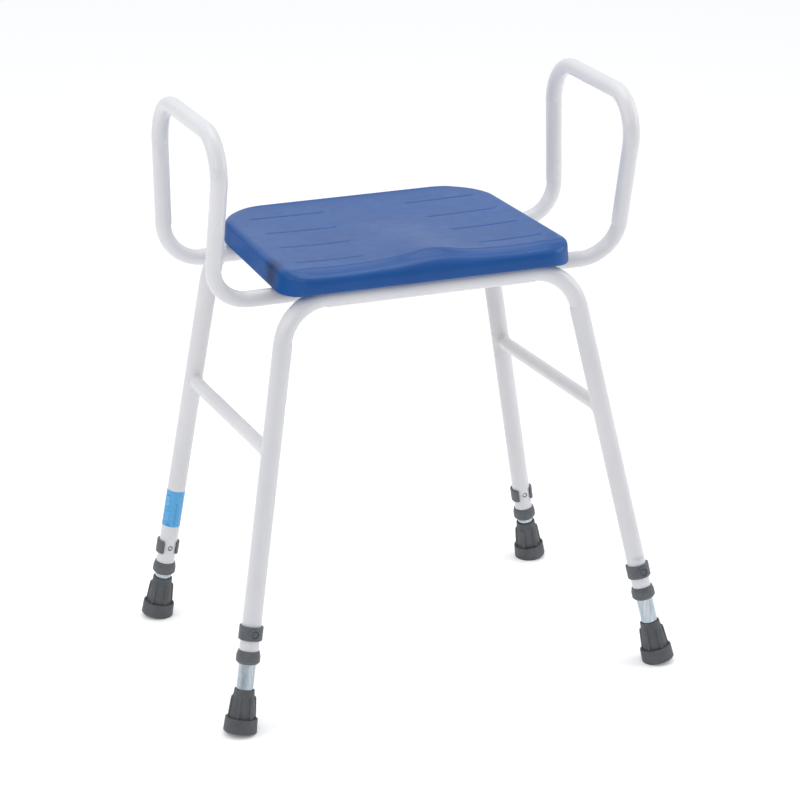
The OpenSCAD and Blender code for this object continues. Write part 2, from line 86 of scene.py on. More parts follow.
# Struts and welds
STRUT_R = 9.5 * MM
STRUT_FRONT_Z = 360 * MM
STRUT_REAR_Z = 352 * MM
BEAD_R = 3.6 * MM
BEAD_SINK = 1.4 * MM
BEAD_PITCH = 2.6 * MM
BEAD_RIPPLE = 0.035
BEAD_COUNT = 144
STRUT_SINK = 0.3 * MM

# Seat
SEAT_ROUND = 12 * MM
SEAT_LEAN = 1.5 * MM
SEAT_EDGE = SEAT_ROUND + SEAT_LEAN
SEAT_SIDE_H = 20 * MM
SEAT_T = 28.5 * MM
SEAT_TAPER = 7 * MM
SEAT_FRONT_R = 43 * MM
SEAT_REAR_R = 74 * MM
SEAT_DISH = 4 * MM
SEAT_SKIRT = 3 * MM
SKIRT_START_X = 165 * MM
SKIRT_END_X = 195 * MM
# The raised front middle has this share of the CAD pad's height, and loses some of it in front of the line.
HUMP_SHARE = 0.75
HUMP_LOSS = 0.45
HUMP_X = 5 * MM
HUMP_HALF_W = 42 * MM
HUMP_FADE = 207 * MM
# The hollow gives way to two thigh dips towards the front.
THIGH_X = 2.9 * HUMP_HALF_W
THIGH_SHARE = 0.35
DISH_LOSS = 0.4
# The top falls away in front of a fine moulded line, whose step takes one of STEP_PARTS parts of the fall.
FALL_L = 16 * MM
FALL_STEP = 0.7 * MM
STEP_PARTS = 6
FRONT_BAND_DROP = 4 * MM
FRONT_BAND_L = 45 * MM
LINE_DEPTH = 0.7 * MM
LINE_HALF_W = 1.0 * MM
LINE_END_X = 186 * MM
LINE_FADE = 20 * MM
GROOVE_DEPTH = 1.1 * MM
GROOVE_HALF_W = 1.6 * MM
GROOVE_END = 5 * MM
# Each row of grooves: its Y, then where its grooves start and end on either side of the middle.
GROOVE_ROWS = (
    (-78 * MM, 80 * MM, 176 * MM),
    (-7 * MM, 71 * MM, 172 * MM),
    (61 * MM, 64 * MM, 169 * MM),
    (131 * MM, 58 * MM, 166 * MM),
)
BOARD_INSET = 24 * MM
ROUND_STEPS = 12
CORNER_STEPS = 40
CORNER_GAP = 0.012
SIDE_STEPS = 48
SEAT_COLUMNS = [-1 + 2 * k / 128 for k in range(129)]
# Extra rows of points beside each groove and beside the moulded line.
GROOVE_ROOM = 6 * MM
GROOVE_OFFSETS = [o * MM for o in (0, 0.5, 1, 1.5, 2, 2.8, 4.2)]
LINE_OFFSETS = [o * MM for o in (-2, -1.3, -0.7, 0, 0.7, 1.3, 2)]
# The seat's side below its rounded edge: how far in, and how far above the underside.
SEAT_SIDE = (
    (1.1 * MM, 15 * MM),
    (0.6 * MM, 9 * MM),
    (0.2 * MM, 5 * MM),
    (0.0 * MM, 3 * MM),
    (0.0 * MM, 1.2 * MM),
    (0.3 * MM, 0.4 * MM),
    (1.0 * MM, 0.0 * MM),
)

# Legs
COLLAR_L = 17.5 * MM
COLLAR_R = 15.9 * MM
COLLAR_LIP = 1.5 * MM
CLIP_H = 18.5 * MM
CLIP_T = 3.2 * MM
CLIP_CORNER_R = 2.2 * MM
CLIP_EDGE_R = 0.9 * MM
CLIP_CORNER_STEPS = 6
CLIP_STEPS = 60
# The clip's ends open out a little on the inside, over their last few millimetres.
CLIP_LEAD = 0.7 * MM
CLIP_LEAD_L = 4 * MM
CLIP_GAP = math.radians(38)
BOSS_R = 7 * MM
BOSS_H = 2.0 * MM
PIN_R = 3.1 * MM
FERRULE_LIFT = 1.5 * MM
FERRULE_R = 22.3 * MM
FERRULE_RING_H = 20 * MM
FERRULE_SHOULDER_H = 49 * MM
FERRULE_H = 58 * MM
RIB_COUNT = 6
RIB_W = 3.4 * MM
RIB_DEPTH = 1.8 * MM
# Each ferrule was pushed on turned a little differently, in degrees.
FERRULE_TURN = {"front_left": 54, "front_right": 36, "rear_left": 39, "rear_right": 46}
LABEL_H = 53.5 * MM
LABEL_START = 139.5 * MM
LABEL_WRAP = math.radians(320)
LABEL_T = 0.15 * MM
LABEL_COLUMNS = 96
LABEL_ROWS = 60
# Printed boxes: first and last column round the leg, first and last row up it, pitch of their lines.
LABEL_BOXES = ((50, 60, 32, 51, 9), (51, 62, 8, 26, 4))


# ---------------------------------------------------------------- places from the frame

def centre(node):
    low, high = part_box(node)
    return (low + high) / 2


joints = {j["name"]: j for j in frame["joints"]}


def leg_place(name):
    """Frame of a leg: origin on the floor, +Z up the leg, -Y out through the clip's closed side."""
    up = -Vector(joints[f"leg_slide_{name}"]["axis"]).normalized()
    out = Vector(joints[f"pin_clip_pull_{name}"]["axis"]).normalized()
    disc = centre(f"ferrule_disc_{name}")
    foot = disc - up * (disc.z / up.z)
    turn = Matrix((up.cross(out), -out, up)).transposed().to_4x4()
    return SimpleNamespace(
        foot=foot,
        up=up,
        out=out,
        matrix=Matrix.Translation(foot) @ turn,
        pin=(centre(f"clip_pin_{name}") - foot).dot(up),
        collar=(centre(f"leg_collar_{name}") - foot).dot(up) - COLLAR_L / 2,
    )


legs = {name: leg_place(name) for name in LEGS}


def leg_point(name, z):
    """Point on a leg's centre line at a height above the floor."""
    leg = legs[name]
    return leg.foot + leg.up * (z / leg.up.z)


# ---------------------------------------------------------------- mesh helpers

def smooth(t):
    t = min(max(t, 0.0), 1.0)
    return t * t * (3 - 2 * t)


def add_piece(name, verts, faces, material, body, slot, replaces=(), sharp=40):
    """A closed mesh in the row frame, shaded smooth except at edges sharper than `sharp` degrees."""
    bm = bmesh.new()
    points = [bm.verts.new(v) for v in verts]
    for face in faces:
        bm.faces.new([points[i] for i in face])
    bmesh.ops.recalc_face_normals(bm, faces=bm.faces)
    mesh = bpy.data.meshes.new(name)
    bm.to_mesh(mesh)
    bm.free()
    mesh.shade_smooth()
    mesh.set_sharp_from_angle(angle=math.radians(sharp))
    mesh.materials.append(material)
    piece = bpy.data.objects.new(name, mesh)
    bpy.context.scene.collection.objects.link(piece)
    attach(piece, body)
    if replaces:
        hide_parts(*replaces)
    return piece


def join(*shapes):
    """Puts several (verts, faces) shapes into one."""
    verts, faces = [], []
    for more_verts, more_faces in shapes:
        start = len(verts)
        verts += more_verts
        faces += [tuple(start + i for i in face) for face in more_faces]
    return verts, faces


def placed(shape, matrix):
    return [matrix @ v for v in shape[0]], shape[1]


def fillet(corners, loop=False, steps=5):
    """Rounds each (x, y, radius) corner of a profile with an arc."""
    points, count = [], len(corners)
    for i, (x, y, radius) in enumerate(corners):
        here = Vector((x, y))
        if radius == 0 or (not loop and i in (0, count - 1)):
            points.append(here)
            continue
        before = (Vector(corners[i - 1][:2]) - here).normalized()
        after = (Vector(corners[(i + 1) % count][:2]) - here).normalized()
        half = before.angle(after) / 2
        if half > math.radians(89):
            points.append(here)
            continue
        middle = here + (before + after).normalized() * radius / math.sin(half)
        a = here + before * radius / math.tan(half) - middle
        b = here + after * radius / math.tan(half) - middle
        sweep = a.angle(b)
        for k in range(steps + 1):
            t = k / steps
            arc = a * math.sin((1 - t) * sweep) + b * math.sin(t * sweep)
            points.append(middle + arc / math.sin(sweep))
    return points


def even_angles(count):
    return [2 * math.pi * k / count for k in range(count)]


def lathe(profile, angles=None, loop=False, radius_at=None):
    """Turns a profile of (radius, height) round +Z; radius_at(radius, angle, height) may shape it."""
    angles = angles or even_angles(TUBE_SIDES)
    count = len(angles)
    verts, rings = [], []
    for radius, height in profile:
        if radius < 1e-7:
            rings.append([len(verts)] * count)
            verts.append(Vector((0, 0, height)))
            continue
        rings.append(list(range(len(verts), len(verts) + count)))
        for a in angles:
            r = radius_at(radius, a, height) if radius_at else radius
            verts.append(Vector((r * math.cos(a), r * math.sin(a), height)))
    faces = []
    for low, high in zip(rings, rings[1:] + (rings[:1] if loop else [])):
        for k in range(count):
            n = (k + 1) % count
            face = [low[k], low[n], high[n], high[k]]
            faces.append(tuple(dict.fromkeys(face)))
    return verts, faces


def grid_faces(rings, closed_ring=True, closed_path=False):
    """Quads between one ring of vertex numbers and the next."""
    faces = []
    for low, high in zip(rings, rings[1:] + (rings[:1] if closed_path else [])):
        last = len(low) if closed_ring else len(low) - 1
        for k in range(last):
            n = (k + 1) % len(low)
            faces.append((low[k], low[n], high[n], high[k]))
    return faces


# ---------------------------------------------------------------- bent tubes

def station(at, along, inward=None, squeeze=0.0):
    """A place on a tube's centre line, with its direction, the way to the bend's centre and the squeeze."""
    return SimpleNamespace(at=at, along=along.normalized(), inward=inward, squeeze=squeeze)


def bent_path(corners, radii):
    """Stations along a polyline with rounded corners."""
    stations = [station(corners[0], corners[1] - corners[0])]
    for i, radius in enumerate(radii, start=1):
        a = (corners[i] - corners[i - 1]).normalized()
        b = (corners[i + 1] - corners[i]).normalized()
        angle = a.angle(b)
        inward = (b - a * a.dot(b)).normalized()
        start = corners[i] - a * radius * math.tan(angle / 2)
        middle = start + inward * radius
        mark = BEND_MARK / radius
        turns = [0, mark / 3, 2 * mark / 3, mark]
        inner_steps = max(2, round((angle - 2 * mark) / BEND_STEP))
        turns += [mark + (angle - 2 * mark) * k / inner_steps for k in range(1, inner_steps)]
        turns += [angle - t for t in reversed(turns[:4])]
        for turn in turns:
            along = a * math.cos(turn) + inward * math.sin(turn)
            toward = inward * math.cos(turn) - a * math.sin(turn)
            squeeze = smooth(min(turn, angle - turn) / mark)
            stations.append(station(middle - toward * radius, along, toward, squeeze))
    stations.append(station(corners[-1], corners[-1] - corners[-2]))
    return stations


def tube_rings(stations, radius):
    """Rings of points round a path, carried along it without twist and flattened in its bends."""
    along = stations[0].along
    side = along.orthogonal().normalized()
    rings = []
    for s in stations:
        side = along.rotation_difference(s.along) @ side
        along = s.along
        side = (side - along * side.dot(along)).normalized()
        other = along.cross(side)
        ring = []
        for a in even_angles(TUBE_SIDES):
            offset = (side * math.cos(a) + other * math.sin(a)) * radius
            if s.squeeze:
                inner = offset.dot(s.inward)
                binormal = s.along.cross(s.inward)
                flat = BEND_INNER if inner > 0 else BEND_OUTER
                offset = offset - s.inward * inner * flat * s.squeeze
                offset = offset + binormal * offset.dot(binormal) * BEND_SIDE * s.squeeze
            ring.append(s.at + offset)
        rings.append(ring)
    return rings


def tube(stations, radius, wall):
    """A hollow tube with flat ends, closed all over."""
    outer = tube_rings(stations, radius)
    inner = tube_rings(stations, radius - wall)
    rings = outer + inner[::-1]
    verts = [v for ring in rings for v in ring]
    numbers = [list(range(i * TUBE_SIDES, (i + 1) * TUBE_SIDES)) for i in range(len(rings))]
    return verts, grid_faces(numbers, closed_path=True)


def drill(piece, place, direction, radius, depth):
    """Cuts a round hole through a piece and keeps the result as its mesh."""
    turn = direction.to_track_quat("Z", "Y").to_matrix().to_4x4()
    profile = [(0, -depth / 2), (radius, -depth / 2), (radius, depth / 2), (0, depth / 2)]
    verts, faces = placed(lathe(profile), Matrix.Translation(place) @ turn)
    mesh = bpy.data.meshes.new("cutter")
    mesh.from_pydata(verts, [], faces)
    cutter = bpy.data.objects.new("cutter", mesh)
    bpy.context.scene.collection.objects.link(cutter)
    cut = piece.modifiers.new("cut", "BOOLEAN")
    cut.operation = "DIFFERENCE"
    cut.solver = "EXACT"
    cut.object = cutter
    evaluated = piece.evaluated_get(bpy.context.evaluated_depsgraph_get())
    result = bpy.data.meshes.new_from_object(evaluated)
    piece.modifiers.clear()
    old = piece.data
    piece.data = result
    result.name = old.name
    bpy.data.meshes.remove(old)
    bpy.data.objects.remove(cutter)
    bpy.data.meshes.remove(mesh)
    result.shade_smooth()
    result.set_sharp_from_angle(angle=math.radians(40))


def leg_hoop(pair, material):
    """One leg hoop: a tube from the left collar up, across and down to the right collar."""
    low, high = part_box(f"{pair}_leg_frame")
    bar_z = high.z - LEG_R
    left, right = f"{pair}_left", f"{pair}_right"
    corners = [
        legs[left].foot + legs[left].up * (legs[left].collar + COLLAR_LIP),
        leg_point(left, bar_z),
        leg_point(right, bar_z),
        legs[right].foot + legs[right].up * (legs[right].collar + COLLAR_LIP),
    ]
    shape = tube(bent_path(corners, [LEG_BEND_R, LEG_BEND_R]), LEG_R, LEG_WALL)
    node = f"{pair}_leg_frame"
    piece = add_piece(f"{pair}_hoop_tube", *shape, material, FRAME_BODY, "white_powder_coat", [node])
    for name in (left, right):
        leg = legs[name]
        drill(piece, leg.foot + leg.up * leg.pin, leg.out, HOLE_R, 4 * LEG_R)


def arm_loop(side, sign, material):
    """One arm: cross tube, front upright, top bar, rear upright, cross tube, in one bent tube."""
    rise = ARM_TOP_Z - ARM_LOW_Z
    top_front = ARM_FRONT_Y - rise * math.tan(ARM_FRONT_LEAN)
    top_rear = ARM_REAR_Y + rise * math.tan(ARM_REAR_LEAN)
    x = sign * ARM_X
    corners = [
        Vector((0, ARM_FRONT_Y, ARM_LOW_Z)),
        Vector((x, ARM_FRONT_Y, ARM_LOW_Z)),
        Vector((x, top_front, ARM_TOP_Z)),
        Vector((x, top_rear, ARM_TOP_Z)),
        Vector((x, ARM_REAR_Y, ARM_LOW_Z)),
        Vector((0, ARM_REAR_Y, ARM_LOW_Z)),
    ]
    radii = [ARM_LOW_BEND_R, ARM_FRONT_BEND_R, ARM_REAR_BEND_R, ARM_LOW_BEND_R]
    shape = tube(bent_path(corners, radii), ARM_R, ARM_WALL)
    add_piece(f"arm_tube_{side}", *shape, material, FRAME_BODY, "white_powder_coat", [f"arm_{side}"])


# ---------------------------------------------------------------- struts and welds

def reach_cylinder(point, direction, axis_point, axis, radius):
    """How far along direction a point is when it leaves a cylinder round an axis."""
    across = direction - axis * direction.dot(axis)
    start = (point - axis_point) - axis * (point - axis_point).dot(axis)
    a, b, c = across.dot(across), start.dot(across), start.dot(start) - radius * radius
    return (-b + math.sqrt(max(b * b - a * c, 0))) / a


def saddle(centre_line, direction, radius, leg, leg_radius, count):
    """Where a round tube that runs along direction comes out of a leg: a closed ring of points."""
    side = direction.orthogonal().normalized()
    other = direction.cross(side)
    ring = []
    for a in even_angles(count):
        out = side * math.cos(a) + other * math.sin(a)
        start = centre_line + out * radius
        reach = reach_cylinder(start, direction, leg.foot, leg.up, leg_radius)
        ring.append((start + direction * reach, out))
    return ring


def bead(ring, radius, pitch):
    """A weld bead with soft ripples along a closed ring of (point, outward) pairs."""
    sides, count = 10, len(ring)
    length = sum((ring[i][0] - ring[i - 1][0]).length for i in range(count))
    ripples = round(length / pitch)
    verts = []
    for i, (point, out) in enumerate(ring):
        along = (ring[(i + 1) % count][0] - ring[i - 1][0]).normalized()
        out = (out - along * out.dot(along)).normalized()
        across = along.cross(out)
        r = radius * (1 + BEAD_RIPPLE * math.cos(2 * math.pi * ripples * i / count))
        verts += [point + (out * math.cos(a) + across * math.sin(a)) * r for a in even_angles(sides)]
    numbers = [list(range(i * sides, (i + 1) * sides)) for i in range(count)]
    return verts, grid_faces(numbers, closed_path=True)


def side_strut(side, material):
    """A strut coped to both legs, with a weld bead round each end."""
    front, rear = legs[f"front_{side}"], legs[f"rear_{side}"]
    a = leg_point(f"front_{side}", STRUT_FRONT_Z)
    b = leg_point(f"rear_{side}", STRUT_REAR_Z)
    along = (b - a).normalized()
    start = [p for p, _ in saddle(a, along, STRUT_R, front, LEG_R - STRUT_SINK, TUBE_SIDES)]
    end = [p for p, _ in saddle(b, -along, STRUT_R, rear, LEG_R - STRUT_SINK, TUBE_SIDES)]

    def apart(near, far):
        """Distance between the rings' points seen along the strut."""
        gap = (far - b) - (near - a)
        return (gap - along * gap.dot(along)).length

    # The far ring runs the other way round, so it is matched to the near one by place.
    end = [min(end, key=lambda p, s=s: apart(s, p)) for s in start]
    count = TUBE_SIDES
    verts = start + end + [a + along * LEG_R * 0.5, b - along * LEG_R * 0.5]
    faces = grid_faces([list(range(count)), list(range(count, 2 * count))])
    faces += [(2 * count, (k + 1) % count, k) for k in range(count)]
    faces += [(2 * count + 1, count + k, count + (k + 1) % count) for k in range(count)]
    node = f"side_strut_{side}"
    add_piece(f"strut_tube_{side}", verts, faces, material, FRAME_BODY, "white_powder_coat", [node])
    shapes = []
    for place, direction, leg in ((a, along, front), (b, -along, rear)):
        seam = saddle(place, direction, STRUT_R - BEAD_SINK, leg, LEG_R - BEAD_SINK, BEAD_COUNT)
        shapes.append(bead(seam, BEAD_R, BEAD_PITCH))
    add_piece(f"strut_welds_{side}", *join(*shapes), material, FRAME_BODY, "white_powder_coat", sharp=80)


# ---------------------------------------------------------------- seat

seat_low, seat_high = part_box("seat_pad")
SEAT_X = (seat_low.x + seat_high.x) / 2
SEAT_HALF_W = (seat_high.x - seat_low.x) / 2
SEAT_MID_Y = (seat_low.y + seat_high.y) / 2
SEAT_HALF_L = (seat_high.y - seat_low.y) / 2
SEAT_Z = seat_low.z + SEAT_SKIRT
SEAT_HUMP = seat_high.z - SEAT_Z - SEAT_T
LINE_Y = seat_low.y + SEAT_EDGE + FALL_L


def front_fall(y):
    """1 along the seat's front edge, 0 from the moulded line backwards."""
    return min(max((LINE_Y - y) / FALL_L, 0), 1)


def front_curve(fall):
    """Height share of the front's long rounding, 1 at the line, at the given part of the fall."""
    return math.sqrt(1 - (fall * FALL_L / (FALL_L + SEAT_ROUND)) ** 2)


def seat_top(x, y):
    """Height of the top, x from the seat's middle: shallow hollow, thigh dips, raised front middle."""
    from_edge = y - seat_low.y - SEAT_EDGE
    across = max(0.0, 1 - (x / (SEAT_HALF_W - SEAT_EDGE)) ** 2)
    along = max(0.0, 1 - ((y - SEAT_MID_Y) / (SEAT_HALF_L - SEAT_EDGE)) ** 2)
    thigh = math.exp(-(((abs(x) - THIGH_X) / HUMP_HALF_W) ** 2))
    forward = 1 - smooth(from_edge / HUMP_FADE)
    fall = front_fall(y)
    hump = SEAT_HUMP * math.exp(-(((x - HUMP_X) / HUMP_HALF_W) ** 2)) * forward
    hump *= HUMP_SHARE - HUMP_LOSS * smooth(fall)
    dish = THIGH_SHARE * thigh * forward + math.sqrt(across * along) * (1 - DISH_LOSS * forward)
    front = (SEAT_T - SEAT_SIDE_H + FRONT_BAND_DROP) * (1 - front_curve(fall))
    front += FALL_STEP * smooth(fall * STEP_PARTS)
    return SEAT_Z + SEAT_T + hump - SEAT_DISH * dish - front


def band_top(y):
    """Height where the seat's side turns into its rounded edge, lower along the front."""
    return SEAT_Z + SEAT_SIDE_H - FRONT_BAND_DROP * (1 - smooth((y - seat_low.y) / FRONT_BAND_L))


def seat_under(x):
    """Height of the seat's underside, which hangs a little lower along both sides."""
    return SEAT_Z - SEAT_SKIRT * smooth((abs(x) - SKIRT_START_X) / (SKIRT_END_X - SKIRT_START_X))


def groove(x, y):
    """Depth of the moulded grip grooves and of the fine line, x from the seat's middle."""
    reach = abs(x + SEAT_X)
    depth = 0.0
    for row_y, start_x, end_x in GROOVE_ROWS:
        across = math.exp(-(((y - row_y) / GROOVE_HALF_W) ** 2))
        ends = smooth((reach - start_x) / GROOVE_END) * smooth((end_x - reach) / GROOVE_END)
        depth += GROOVE_DEPTH * across * ends
    line = math.exp(-(((y - LINE_Y) / LINE_HALF_W) ** 2)) * smooth((LINE_END_X - abs(x)) / LINE_FADE)
    return depth + LINE_DEPTH * line


def seat_side_point(step, inset):
    """Point on the right-hand side of the seat's outline, from the front edge round to the rear edge."""
    kind, t = step
    front = Vector((SEAT_HALF_W - SEAT_FRONT_R, seat_low.y + SEAT_FRONT_R))
    rear = Vector((SEAT_HALF_W - SEAT_TAPER - SEAT_REAR_R, seat_high.y - SEAT_REAR_R))
    if kind == "front":
        return front + (SEAT_FRONT_R - inset) * Vector((math.sin(t), -math.cos(t)))
    if kind == "rear":
        return rear + (SEAT_REAR_R - inset) * Vector((math.cos(t), math.sin(t)))
    a = front + Vector((SEAT_FRONT_R - inset, 0))
    b = rear + Vector((SEAT_REAR_R - inset, 0))
    return a.lerp(b, (t - a.y) / (b.y - a.y))


def corner_turns(rows, start, radius):
    """Angles round a corner, evenly spread and also on each row of the top that passes beside it."""
    top_r = abs(radius) - SEAT_EDGE
    on_rows = {round(math.asin((y - start) / math.copysign(top_r, radius)), 6) for y in rows}
    even = {round(math.pi / 2 * k / CORNER_STEPS, 6) for k in range(1, CORNER_STEPS + 1)}
    return sorted(on_rows | {t for t in even if all(abs(t - o) > CORNER_GAP for o in on_rows)})


def seat_steps():
    """Steps along the seat's side, close together at the grooves and at the fine line."""
    first, last = seat_low.y + SEAT_FRONT_R, seat_high.y - SEAT_REAR_R
    grooves = [row[0] for row in GROOVE_ROWS]
    rows = {round(y + sign * o, 6) for y in grooves for o in GROOVE_OFFSETS for sign in (-1, 1)}
    plain = [first + (last - first) * k / SIDE_STEPS for k in range(SIDE_STEPS + 1)]
    rows |= {y for y in plain if all(abs(y - g) > GROOVE_ROOM for g in grooves)}
    front_turns = corner_turns([LINE_Y + o for o in LINE_OFFSETS], first, -SEAT_FRONT_R)
    rear_turns = corner_turns([y for y in rows if y > last], last, SEAT_REAR_R)
    steps = [("front", math.pi / 2 - t) for t in reversed(front_turns)]
    steps += [("side", y) for y in sorted(rows) if first <= y <= last]
    steps += [("rear", t) for t in rear_turns]
    return steps


def seat_sheet(steps, inset, height):
    """A grid of points that fills the seat's outline, moved in by inset."""
    rows = []
    for step in steps:
        half_w, y = seat_side_point(step, inset)
        rows.append([Vector((SEAT_X + s * half_w, y, height(s * half_w, y))) for s in SEAT_COLUMNS])
    return rows


def seat_loop(rows):
    """The border of a grid, once round."""
    front, rear = rows[0], rows[-1][::-1]
    right = [row[-1] for row in rows[1:-1]]
    left = [row[0] for row in rows[1:-1]][::-1]
    return front + right + rear + left


def seat_pad(material):
    """The cushion: grooved top, rounded edge, leaning side, small lip and a recess for the board."""
    steps = seat_steps()
    count = len(SEAT_COLUMNS)
    verts, faces = [], []

    def sheet(inset, height, flip=False):
        """Adds a filled grid of points and gives their numbers."""
        first = len(verts)
        grid = seat_sheet(steps, inset, height)
        verts.extend(v for row in grid for v in row)
        numbers = [list(range(first + i * count, first + (i + 1) * count)) for i in range(len(grid))]
        quads = grid_faces(numbers, closed_ring=False)
        faces.extend(tuple(reversed(q)) for q in quads) if flip else faces.extend(quads)
        return numbers

    last = seat_loop(sheet(SEAT_EDGE, lambda x, y: seat_top(x, y) - groove(x, y)))

    def ring(inset, height):
        """Adds a loop of points below the last one."""
        nonlocal last
        outline = seat_loop(seat_sheet(steps, inset, height))
        numbers = list(range(len(verts), len(verts) + len(outline)))
        verts.extend(outline)
        faces.extend(grid_faces([last, numbers]))
        last = numbers

    def rounded(x, y, turn):
        """Height on the rounded edge: a quarter circle, or in front the end of the long rounding."""
        reach = (FALL_L + SEAT_ROUND * math.cos(turn)) / (FALL_L + SEAT_ROUND)
        in_front = math.sqrt(max(0.0, 1 - reach ** 2)) / front_curve(1)
        lift = math.sin(turn) + (in_front - math.sin(turn)) * smooth(front_fall(y))
        return band_top(y) + (seat_top(x, y) - band_top(y)) * lift

    for k in range(ROUND_STEPS - 1, -1, -1):
        turn = math.pi / 2 * k / ROUND_STEPS
        inset = SEAT_LEAN + SEAT_ROUND * (1 - math.cos(turn))
        ring(inset, lambda x, y, t=turn: rounded(x, y, t))
    for inset, height in SEAT_SIDE:
        ring(inset, lambda x, y, h=height: seat_under(x) + h)
    board_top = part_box("seat_board")[1].z
    ring(BOARD_INSET, lambda x, y: seat_under(x))
    ring(BOARD_INSET, lambda x, y: board_top)
    inside = sheet(BOARD_INSET, lambda x, y: board_top, flip=True)
    faces.extend(grid_faces([last, seat_loop(inside)]))
    slot = "blue_seat_skin"
    piece = add_piece("seat_cushion", verts, faces, material, FRAME_BODY, slot, ["seat_pad"], sharp=50)


# ---------------------------------------------------------------- leg fittings

def collar(name, material):
    """Plastic collar: a thin top edge, a belly and a chamfered foot."""
    profile = [
        (EXT_R + 0.2 * MM, 0, 0.3 * MM),
        (13.0 * MM, 0, 0.5 * MM),
        (COLLAR_R, 3.2 * MM, 1.2 * MM),
        (COLLAR_R, 11 * MM, 3 * MM),
        (14.2 * MM, COLLAR_L, 0.6 * MM),
        (LEG_R, COLLAR_L, 0),
        (LEG_R, COLLAR_LIP, 0),
        (EXT_R + 0.2 * MM, COLLAR_LIP, 0),
    ]
    leg = legs[name]
    matrix = leg.matrix @ Matrix.Translation((0, 0, leg.collar))
    shape = placed(lathe(fillet(profile, loop=True), loop=True), matrix)
    add_piece(f"collar_{name}", *shape, material, FRAME_BODY, "grey_nylon", [f"leg_collar_{name}"])


def clip_band():
    """C-shaped band with rounded ends, about the leg's axis, its closed side at -Y."""
    half = math.pi - CLIP_GAP
    corner = CLIP_CORNER_R
    corner_angle = corner / (LEG_R + CLIP_T)
    eases = [1 - math.cos(math.pi / 2 * k / CLIP_CORNER_STEPS) for k in range(CLIP_CORNER_STEPS + 1)]
    turns = [half - corner_angle * ease for ease in eases]
    plain = half - corner_angle
    angles = [-t for t in turns]
    angles += [-plain + 2 * plain * k / CLIP_STEPS for k in range(1, CLIP_STEPS)]
    angles += turns[::-1]
    inner_r, outer_r = 0.4 * CLIP_EDGE_R, CLIP_EDGE_R
    verts, rings = [], []
    for a in angles:
        from_end = (half - abs(a)) * (LEG_R + CLIP_T)
        cut = corner - math.sqrt(max(corner**2 - (corner - min(from_end, corner)) ** 2, 0))
        half_h = CLIP_H / 2 - cut
        lead = CLIP_LEAD * smooth(1 - from_end / CLIP_LEAD_L)
        inner, outer = LEG_R + 0.05 * MM + lead, LEG_R + CLIP_T
        section = [
            (inner, -half_h, inner_r),
            (outer, -half_h, outer_r),
            (outer, half_h, outer_r),
            (inner, half_h, inner_r),
        ]
        section = fillet(section, loop=True, steps=4)
        rings.append(list(range(len(verts), len(verts) + len(section))))
        verts += [Vector((r * math.sin(a), -r * math.cos(a), z)) for r, z in section]
    faces = grid_faces(rings) + [tuple(rings[0]), tuple(rings[-1])]
    return verts, faces


def clip_boss():
    """Round button over the pin: a raised rim round a deep groove and a shallow domed centre."""
    surface = LEG_R + CLIP_T
    top = surface + BOSS_H
    profile = [
        (0, top - 0.3 * MM, 0),
        (3.2 * MM, top - 0.6 * MM, 2 * MM),
        (4.4 * MM, top - 1.5 * MM, 0.4 * MM),
        (5.0 * MM, top - 1.5 * MM, 0.3 * MM),
        (5.5 * MM, top, 0.4 * MM),
        (6.4 * MM, top, 0.5 * MM),
        (BOSS_R, top - 0.9 * MM, 0.4 * MM),
        (BOSS_R, surface - 2.6 * MM, 0),
        (0, surface - 2.6 * MM, 0),
    ]
    return lathe(fillet(profile))


def clip(name, material):
    """Snap clip: its band round the leg and its button, as one moulding."""
    leg = legs[name]
    matrix = leg.matrix @ Matrix.Translation((0, 0, leg.pin))
    facing = matrix @ Matrix.Rotation(math.pi / 2, 4, "X")
    shape = join(placed(clip_band(), matrix), placed(clip_boss(), facing))
    add_piece(f"snap_clip_{name}", *shape, material, f"pin_clip_{name}", "grey_nylon", [f"clip_{name}"])


def clip_pin(name, material):
    """Steel pin through the leg, with a rounded end that shows in the far hole."""
    leg = legs[name]
    low, high = -(LEG_R - 0.4 * MM), LEG_R + CLIP_T
    profile = fillet([(0, low, 0), (PIN_R, low, 1.4 * MM), (PIN_R, high, 0.3 * MM), (0, high, 0)])
    facing = leg.matrix @ Matrix.Translation((0, 0, leg.pin)) @ Matrix.Rotation(math.pi / 2, 4, "X")
    shape = placed(lathe(profile), facing)
    node = f"clip_pin_{name}"
    add_piece(f"steel_pin_{name}", *shape, material, f"pin_clip_{name}", "zinc_steel", [node])


